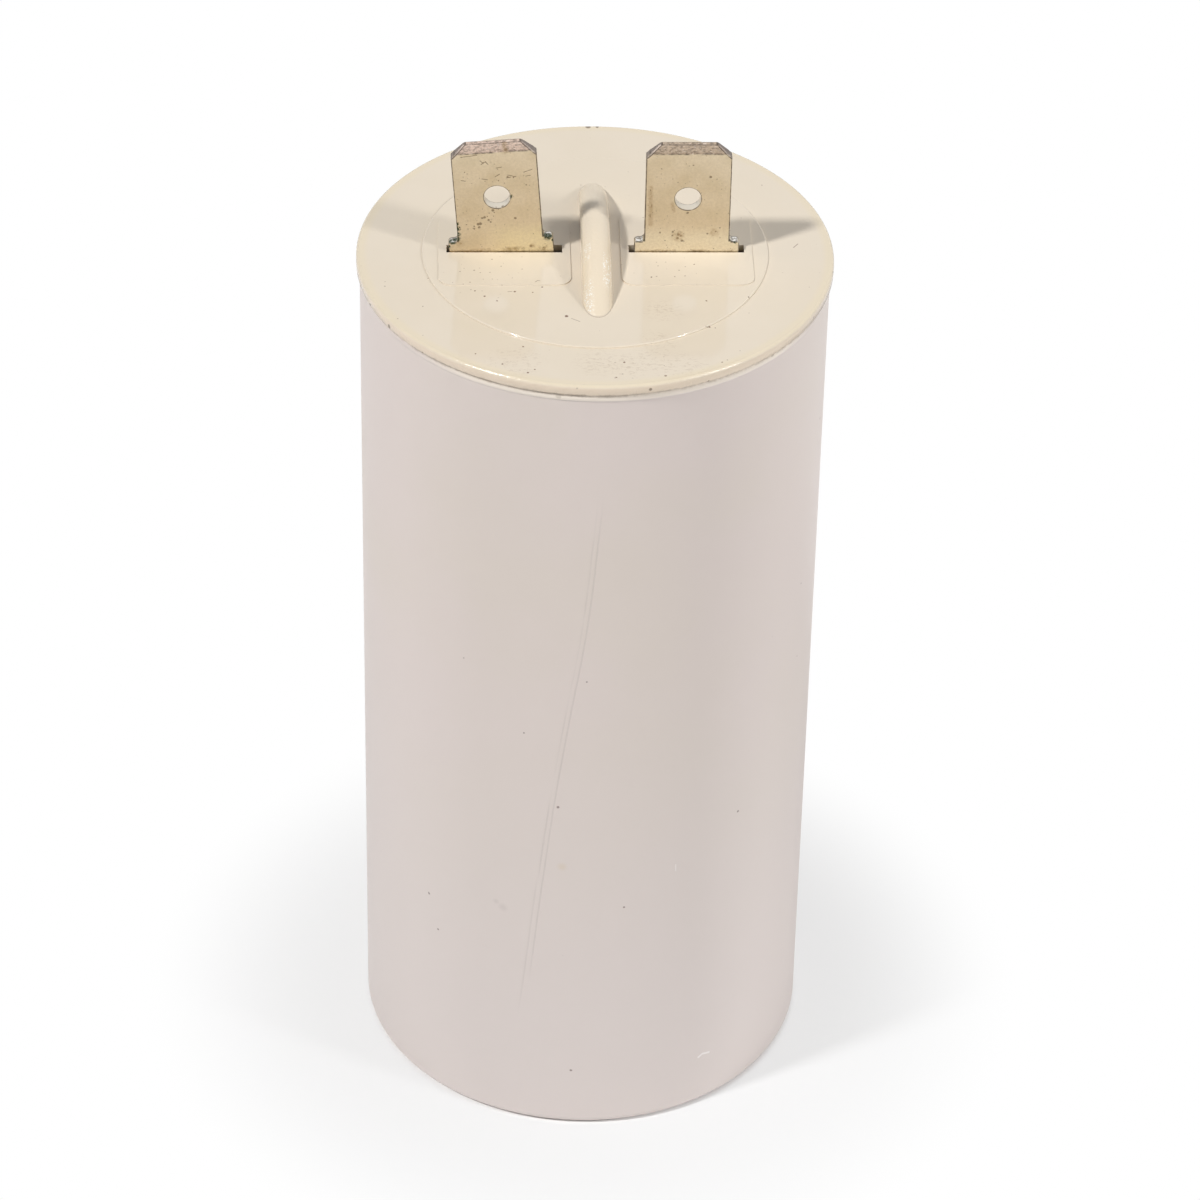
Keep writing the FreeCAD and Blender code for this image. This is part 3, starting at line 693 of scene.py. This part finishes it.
def tin(name, bevel_colour, reflection_colour, reflection_from, pits, trail, scratches, stains, strips, verdigris):
    """Dull tin over brass: pitted faces, dark sheared edges, a coined tip and corroded shoulders.

    Marks are (x, z, radius), strokes (x, z, x, z) with a half width for strips, verdigris (x, y, z, radius).
    """
    s = Surface(name, Metallic=1.0)
    x, y, z = s.axes()
    aside = s.math("ABSOLUTE", x)
    depth = s.math("ABSOLUTE", y)
    blade = blade_width / 2
    half_sheet = sheet / 2
    ragged = s.ragged(6.0, 0.12)
    cloud = s.step(s.noise(0.6, 4, 0.6), 0.35, 0.65)
    mottle = s.step(s.noise(5.0, 5, 0.75), 0.35, 0.65)
    # Painted reflection of the cream cover: the lower blade is paler and creamier towards its right
    painted_reflection = s.times(s.step(z, shoulder_top + 1.72, shoulder_top + 0.12),
                    s.step(x, reflection_from - 1.6, reflection_from + 1.6))
    colour = s.mix(cloud, (0.705, 0.605, 0.440), (0.760, 0.655, 0.490))
    colour = s.mix(painted_reflection, colour, reflection_colour)
    colour = s.mix(s.times(mottle, 0.26), colour, (0.46, 0.38, 0.27))

    # The coined tip is browner, with streaks and painted glints
    bevel = s.step(z, coin_bottom - 0.02, coin_bottom + 0.04)
    streaks = s.noise(3.0, 5, 0.75, s.vector("MULTIPLY", s.ragged(1.5, 0.3), (1, 1, 2.6)))
    painted_glints = s.step(s.noise(3.5, 4, 0.75, s.vector("MULTIPLY", s.place, (1, 1, 3.0))), 0.57, 0.68)
    bevel_tone = s.mix(s.step(streaks, 0.44, 0.60), bevel_colour, tuple(0.52 * c for c in bevel_colour))
    bevel_tone = s.mix(s.times(painted_glints, 0.7), bevel_tone, (0.95, 0.86, 0.80))
    colour = s.mix(bevel, colour, bevel_tone)
    broken = s.step(s.noise(1.6, 3), 0.34, 0.58)
    coin_line = s.times(s.band(z, coin_bottom, 0.06), broken)

    # Sheared edges, and the dark lines round the blade, its corners and its hole
    above_shoulder = s.step(z, shoulder_top, shoulder_top + 0.1)
    sheared = s.most(s.times(s.step(aside, blade - 0.09, blade - 0.04), above_shoulder),
                     s.step(aside, shoulder_width / 2 - 0.08, shoulder_width / 2 - 0.03))
    near_face = s.step(depth, half_sheet - 0.2, half_sheet - 0.07)
    shoulder_line = s.times(s.band(z, shoulder_top, 0.06), s.step(aside, blade + 0.05, blade + 0.15))
    outline = s.times(near_face, s.most(sheared, shoulder_line))
    colour = s.mix(s.times(sheared, 0.4), colour, (0.30, 0.24, 0.16))
    slant = s.math("SUBTRACT", s.math("ADD", aside, z), blade + tip_top - tip_chamfer)
    chamfer = s.step(slant, -0.17, -0.06)
    chamfer_line = s.band(slant, -0.15, 0.05)
    hole = s.distance((0, 0, tip_top - blade_hole_from_tip), s.vector("MULTIPLY", s.place, (1, 0, 1)))
    face = s.step(depth, half_sheet - 0.07, half_sheet - 0.03)
    rim = s.times(s.band(hole, blade_hole_radius, 0.045), face)
    bore = s.times(s.step(hole, blade_hole_radius + 0.06, blade_hole_radius + 0.02), s.step(face, 0.6, 0.3))
    land_line = s.times(s.band(z, tip_top, 0.05), s.step(depth, 0.12, 0.18))
    colour = s.mix(bore, colour, (0.72, 0.66, 0.56))
    colour = s.mix(s.times(chamfer, 0.92), colour, (0.23, 0.195, 0.175))
    worn = s.math("MULTIPLY_ADD", s.step(s.noise(3.0, 3), 0.3, 0.6), 0.5, 0.45)
    dark = s.times(s.most(outline, rim, chamfer_line, s.times(coin_line, 0.8), s.times(land_line, 0.8)), worn)
    colour = s.mix(dark, colour, (0.10, 0.08, 0.065))

    # Painted highlight on the shoulders' ledges: bright in places, with dark tarnish between
    ledge = s.times(s.band(z, shoulder_top, 0.07), s.step(aside, blade + 0.02, blade + 0.12),
                    s.step(aside, shoulder_width / 2 + 0.02, shoulder_width / 2 - 0.10),
                    s.step(depth, half_sheet - 0.06, half_sheet - 0.12))
    ledge_highlight_and_tarnish = s.mix(s.step(s.noise(4.5, 3), 0.44, 0.56), (0.80, 0.78, 0.74), (0.30, 0.27, 0.23))
    colour = s.mix(ledge, colour, ledge_highlight_and_tarnish)

    # Pits, scratches, tarnish, and corrosion at the foot and the shoulders
    fine = s.sprinkle(3.4, 0.34, 0.06, ragged)
    colour = s.mix(s.times(fine, 0.5), colour, (0.24, 0.18, 0.11))
    forward = s.step(y, -0.1, -0.2)
    marks = s.strokes([((x1, 0, z1), (x2, 0, z2), 0.03) for x1, z1, x2, z2 in scratches],
                      s.vector("MULTIPLY", s.ragged(4.0, 0.08), (1, 0, 1)))
    (x1, z1), (x2, z2), width = trail
    along = s.strokes([((x1, 0, z1), (x2, 0, z2), width)], s.vector("MULTIPLY", s.place, (1, 0, 1)))
    upright_place = s.node("ShaderNodeCombineXYZ", {0: x, 1: z}).outputs[0]
    ticks = s.times(along, forward, s.sprinkle(3.6, 0.75, 0.12, upright_place, "2D"))
    pitted = s.most(s.spots(on_front(pits), ragged), s.times(marks, forward), ticks)
    colour = s.mix(s.times(pitted, 0.72), colour, (0.17, 0.12, 0.07))
    tarnish = s.strokes([((x1, 0, z1), (x2, 0, z2), width) for x1, z1, x2, z2, width in strips],
                        s.vector("MULTIPLY", s.ragged(3.0, 0.3), (1, 0, 1)), 0.8)
    patchy = s.step(s.noise(4.5, 4, 0.7), 0.38, 0.62)
    smears = s.most(s.times(s.spots(on_front(stains), s.ragged(3.0, 0.25), 0.6), s.most(patchy, 0.35)),
                    s.times(tarnish, forward, s.most(patchy, 0.55)))
    colour = s.mix(s.times(smears, 0.6), colour, (0.38, 0.26, 0.13))
    foot = s.times(s.step(z, pad_top + 0.30, pad_top + 0.05), s.step(s.noise(1.3, 4, 0.65), 0.42, 0.62))
    colour = s.mix(s.times(foot, 0.65), colour, (0.28, 0.19, 0.08))
    green = s.times(s.spots(verdigris, s.ragged(4.0, 0.25), 0.4), s.step(s.noise(7.0, 3), 0.32, 0.44))
    colour = s.mix(s.times(green, 0.92), colour, (0.035, 0.055, 0.028))
    # Painted shade on the part of the tab that sits down in the slot
    inside = s.step(z, pad_top - 0.1, pad_top - 0.5)
    colour = s.mix(s.times(inside, 0.5), colour, (0.30, 0.24, 0.15))

    rise = s.math("MULTIPLY_ADD", s.most(pitted, fine, green), -0.5, s.times(mottle, 0.15))
    normal = s.bump(rise, 0.02, before=s.bump(s.noise(0.8, 2), 0.01))
    roughness = s.math("MULTIPLY_ADD", cloud, 0.1, 0.30)
    roughness = s.math("ADD", roughness, s.times(s.most(dark, chamfer, green, bevel), 0.22))
    return s.finish(Base_Color=colour, Roughness=roughness, Normal=normal)


def inner_material(name, first, second, scale, roughness, metallic=0.0, relief=0.01):
    """The finish of a piece inside the can: two tones in a noise, with a little relief."""
    s = Surface(name, Metallic=metallic, Roughness=roughness)
    tone = s.noise(scale, 4, 0.6)
    colour = s.mix(s.step(tone, 0.35, 0.65), first, second)
    return s.finish(Base_Color=colour, Normal=s.bump(tone, relief))


def film_material():
    """The edge-on turns of a film winding: fine rings about the axis."""
    s = Surface("metallised_film", Metallic=0.6, Roughness=0.35)
    out = s.distance((0, 0, 0), s.vector("MULTIPLY", s.place, (1, 1, 0)))
    rings = s.node("ShaderNodeCombineXYZ", {0: s.times(out, 6.0), 2: s.times(s.axes()[2], 0.05)}).outputs[0]
    turns = s.noise(1.0, 3, 0.6, rings)
    colour = s.mix(s.step(turns, 0.35, 0.65), (0.52, 0.54, 0.57), (0.72, 0.74, 0.76))
    return s.finish(Base_Color=colour, Normal=s.bump(turns, 0.03))


def terminal_placement(side):
    """Where a terminal stands: the right one upright, the left one leaning and a little raised."""
    place = Vector((side * terminal_spacing / 2, 0, 0))
    lean = 0.0
    if side < 0:
        place += Vector((left_terminal_shift, 0, left_terminal_rise))
        lean = -left_terminal_lean
    pivot = Vector((0, 0, (pad_top + boss_bottom) / 2))
    turn = Matrix.Rotation(math.radians(lean), 4, "Y")
    return Matrix.Translation((place + pivot) * MM) @ turn @ Matrix.Translation(-pivot * MM)


piece("can_shell", make_can(), "can", can_plastic())
piece("cover_moulding", make_cover(), "cover", cover_plastic())

front = -sheet / 2
left_tin = tin(
    "left_tin", (0.68, 0.54, 0.455), (0.82, 0.73, 0.51), -0.4,
    pits=[(0.9, 77.5, 0.07), (1.3, 77.4, 0.06), (-0.8, 78.8, 0.07), (0.2, 78.2, 0.05), (0.2, 77.2, 0.06),
          (1.2, 73.9, 0.10), (0.5, 75.0, 0.07), (0.1, 75.1, 0.06), (2.2, 71.4, 0.10), (3.1, 71.2, 0.05),
          (2.2, 76.7, 0.06), (-2.2, 78.1, 0.05), (-0.6, 73.7, 0.07), (-0.3, 74.5, 0.06),
          (-2.4, 73.6, 0.05), (0.9, 80.1, 0.10), (0.9, 79.8, 0.12)],
    trail=((0.2, 74.9), (-2.0, 73.2), 0.32),
    scratches=[(-1.0, 79.0, -0.85, 78.8), (-0.65, 78.9, -0.45, 78.65), (-0.95, 78.7, -0.6, 78.9),
               (-2.5, 77.4, -2.2, 77.35), (-1.0, 77.45, -0.6, 77.35), (0.0, 77.55, 0.3, 77.75),
               (0.8, 77.4, 1.1, 77.45), (0.9, 77.65, 1.5, 77.45), (2.1, 77.8, 2.7, 78.0),
               (2.2, 77.45, 2.55, 77.5), (0.1, 78.3, 0.5, 78.35), (-2.4, 79.4, -1.2, 79.5)],
    stains=[(-3.0, 72.0, 0.25), (2.3, 71.4, 0.2)],
    strips=[(0.88, 80.25, 0.89, 79.65, 0.19)],
    verdigris=[(-3.05, front, 73.7, 0.12), (-3.05, front, 73.3, 0.18), (-3.1, front, 72.8, 0.20),
               (-3.15, front, 72.4, 0.22), (-3.3, 0, shoulder_top, 0.22), (-3.5, front, shoulder_top, 0.17),
               (-3.75, -0.1, shoulder_top, 0.20), (-3.8, front, 71.8, 0.11),
               (3.45, -0.2, shoulder_top, 0.33), (3.75, -0.15, shoulder_top, 0.13),
               (3.85, front, 71.8, 0.11), (1.0, front, 75.8, 0.17)])
right_tin = tin(
    "right_tin", (0.54, 0.435, 0.335), (0.85, 0.78, 0.62), -6.0,
    pits=[(-2.0, 78.4, 0.06), (0.3, 78.7, 0.06), (1.6, 77.7, 0.10), (0.0, 74.6, 0.09), (1.5, 72.8, 0.08),
          (-2.0, 72.9, 0.07), (-0.3, 75.0, 0.07), (0.8, 75.5, 0.06), (-1.6, 72.2, 0.05),
          (2.1, 73.0, 0.06), (2.4, 73.3, 0.05), (2.0, 71.5, 0.04)],
    trail=((-0.9, 72.8), (-0.4, 72.4), 0.35),
    scratches=[(-2.8, 76.6, -2.75, 76.5), (-2.65, 75.3, -2.65, 75.1), (-2.75, 74.45, -2.75, 74.25)],
    stains=[(-0.65, 72.6, 0.42), (2.0, 72.9, 0.3)],
    strips=[(-2.75, 76.8, -2.7, 73.6, 0.16), (-1.15, 75.4, -1.0, 74.8, 0.14)],
    verdigris=[(-3.2, front, 72.25, 0.10), (-3.55, front, shoulder_top, 0.07),
               (3.25, front, 72.25, 0.13), (3.5, front, shoulder_top, 0.11),
               (3.8, 0.05, shoulder_top, 0.08)])
for side, word, material in ((-1, "left", left_tin), (1, "right", right_tin)):
    piece("tab_" + word, make_terminal(), "terminal_" + word, material,
          terminal_placement(side))

# The pieces inside the can keep their CAD shapes
wire = inner_material("tinned_wire", (0.66, 0.65, 0.62), (0.78, 0.77, 0.74), 3.0, 0.3, 1.0, 0.005)
solder = inner_material("solder", (0.60, 0.60, 0.59), (0.76, 0.76, 0.75), 1.2, 0.25, 1.0, 0.02)
zinc = inner_material("sprayed_zinc", (0.38, 0.39, 0.40), (0.58, 0.59, 0.60), 4.0, 0.65, 0.8, 0.08)
inner_finishes = {
    "winding_core": inner_material("core_plastic", (0.78, 0.78, 0.76), (0.84, 0.84, 0.82), 0.4, 0.45),
    "film_winding": film_material(),
    "metal_spray_bottom": zinc,
    "metal_spray_top": zinc,
    "winding_wrap": inner_material("wrap_film", (0.78, 0.70, 0.42), (0.84, 0.77, 0.50), 0.3, 0.2),
    "lead_left": wire,
    "lead_right": wire,
    "lead_sleeve": inner_material("sleeve_plastic", (0.015, 0.015, 0.015), (0.03, 0.03, 0.03), 2.0, 0.5),
    "solder_top": solder,
    "solder_bottom": solder,
    "solder_tail_left": solder,
    "solder_tail_right": solder,
    "potting_resin": inner_material("resin", (0.10, 0.045, 0.015), (0.16, 0.075, 0.025), 0.5, 0.15),
}
for node, material in inner_finishes.items():
    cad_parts[node].material_slots[0].material = material


def add_lamp(name, azimuth, elevation, share, size, distance=2.0, aim=(0, 0, 0.07)):
    """A round soft lamp that lights a level surface to its share of full white."""
    turn = math.radians(azimuth)
    rise = math.radians(elevation)
    data = bpy.data.lights.new(name, "AREA")
    data.shape = "DISK"
    data.size = size
    data.energy = share * math.pi ** 2 * distance ** 2 / math.sin(rise)
    lamp = bpy.data.objects.new(name, data)
    away = Vector((math.cos(rise) * math.sin(turn), -math.cos(rise) * math.cos(turn), math.sin(rise)))
    lamp.location = Vector(aim) + away * distance
    lamp.rotation_euler = away.to_track_quat("Z", "Y").to_euler()
    bpy.context.scene.collection.objects.link(lamp)


# Azimuth 0 is in front of the object and 90 to its right
add_lamp("left_lamp", -61, 48, 0.52, 0.20)
add_lamp("right_lamp", 60, 33, 0.16, 0.26)

# White surroundings to the eye and in gloss. What they shed is low, and more from the right and back
ambient = 0.12
bright_side = (0.85, 0.25, 0)
world = bpy.data.worlds.new("studio")
bpy.context.scene.world = world
world.use_nodes = True
tree = world.node_tree
path = add_node(tree, "ShaderNodeLightPath").outputs
seen = add_node(tree, "ShaderNodeMath", {0: path["Is Camera Ray"], 1: path["Is Glossy Ray"]},
                operation="MAXIMUM")
direction = add_node(tree, "ShaderNodeTexCoord").outputs["Generated"]
facing = add_node(tree, "ShaderNodeVectorMath", {0: direction, 1: bright_side}, operation="DOT_PRODUCT")
shed = add_node(tree, "ShaderNodeMath", {0: facing.outputs["Value"], 1: 0}, operation="MAXIMUM")
total = add_node(tree, "ShaderNodeMath", {0: shed.outputs[0], 1: ambient}, operation="ADD")
level = add_node(tree, "ShaderNodeMapRange",
                 {"Value": seen.outputs[0], "To Min": total.outputs[0], "To Max": 1.0})
background = tree.nodes["Background"]
feed(tree, background.inputs["Strength"], level.outputs[0])
feed(tree, background.inputs["Color"], (1, 1, 1, 1))

# Floor: it keeps the shadow near the object and fades to the white backdrop further out; its glow is dimmer
# near the object, a painted shade
shadow_from = 0.018
shadow_to = 0.036
contact_from = 0.0170
contact_to = 0.0176
own_white = 0.68
painted_shade_glow = 0.88
floor_bm = bmesh.new()
bmesh.ops.create_grid(floor_bm, x_segments=1, y_segments=1, size=3.0)
floor = as_object("floor", floor_bm)
floor_material = bpy.data.materials.new("floor")
floor_material.use_nodes = True
tree = floor_material.node_tree
tree.nodes.remove(tree.nodes["Principled BSDF"])
matt = add_node(tree, "ShaderNodeBsdfDiffuse", {"Color": (0.96, 0.96, 0.96, 1)})
coordinates = add_node(tree, "ShaderNodeTexCoord").outputs["Object"]
from_axis = add_node(tree, "ShaderNodeVectorMath", {0: coordinates}, operation="LENGTH").outputs["Value"]
fade = add_node(tree, "ShaderNodeMapRange",
                {"Value": from_axis, "From Min": shadow_from, "From Max": shadow_to, "To Min": own_white},
                interpolation_type="SMOOTHSTEP").outputs[0]
# The glow dims towards the object: painted shade round its foot
glow_level = add_node(tree, "ShaderNodeMapRange",
                      {"Value": fade, "From Min": own_white, "To Min": painted_shade_glow})
glow = add_node(tree, "ShaderNodeEmission", {"Strength": glow_level.outputs[0]})
contact = add_node(tree, "ShaderNodeMapRange",
                   {"Value": from_axis, "From Min": contact_from, "From Max": contact_to},
                   interpolation_type="SMOOTHSTEP")
clear = add_node(tree, "ShaderNodeMath", {0: contact.outputs[0], 1: fade}, operation="MULTIPLY")
path = add_node(tree, "ShaderNodeLightPath").outputs
seen = add_node(tree, "ShaderNodeMath", {0: path["Is Camera Ray"], 1: clear.outputs[0]},
                operation="MULTIPLY")
blend = add_node(tree, "ShaderNodeMixShader",
                 {0: seen.outputs[0], 1: matt.outputs[0], 2: glow.outputs[0]})
feed(tree, tree.nodes["Material Output"].inputs["Surface"], blend.outputs[0])
floor.data.materials.append(floor_material)

# Camera at the photograph's place
camera_data = bpy.data.cameras.new("camera")
camera_data.lens = 156.06
camera_data.sensor_width = 36
camera_data.clip_start = 0.01
camera = bpy.data.objects.new("camera", camera_data)
bpy.context.scene.collection.objects.link(camera)
bpy.context.scene.camera = camera
tilt = math.radians(36.9)
roll = math.radians(1.25)
swing = 0.0394
camera_place = (-11.764, -321.533, 280.477)
right = Vector((math.cos(swing), -math.sin(swing), 0))
ahead = Vector((math.cos(tilt) * math.sin(swing), math.cos(tilt) * math.cos(swing), -math.sin(tilt)))
up = Vector((math.sin(tilt) * math.sin(swing), math.sin(tilt) * math.cos(swing), math.cos(tilt)))
rolled_right = right * math.cos(roll) + up * math.sin(roll)
rolled_up = up * math.cos(roll) - right * math.sin(roll)
axes = Matrix((rolled_right, rolled_up, -ahead)).transposed().to_4x4()
camera.matrix_world = Matrix.Translation(Vector(camera_place) * MM) @ axes

bpy.context.scene.view_settings.view_transform = "Standard"
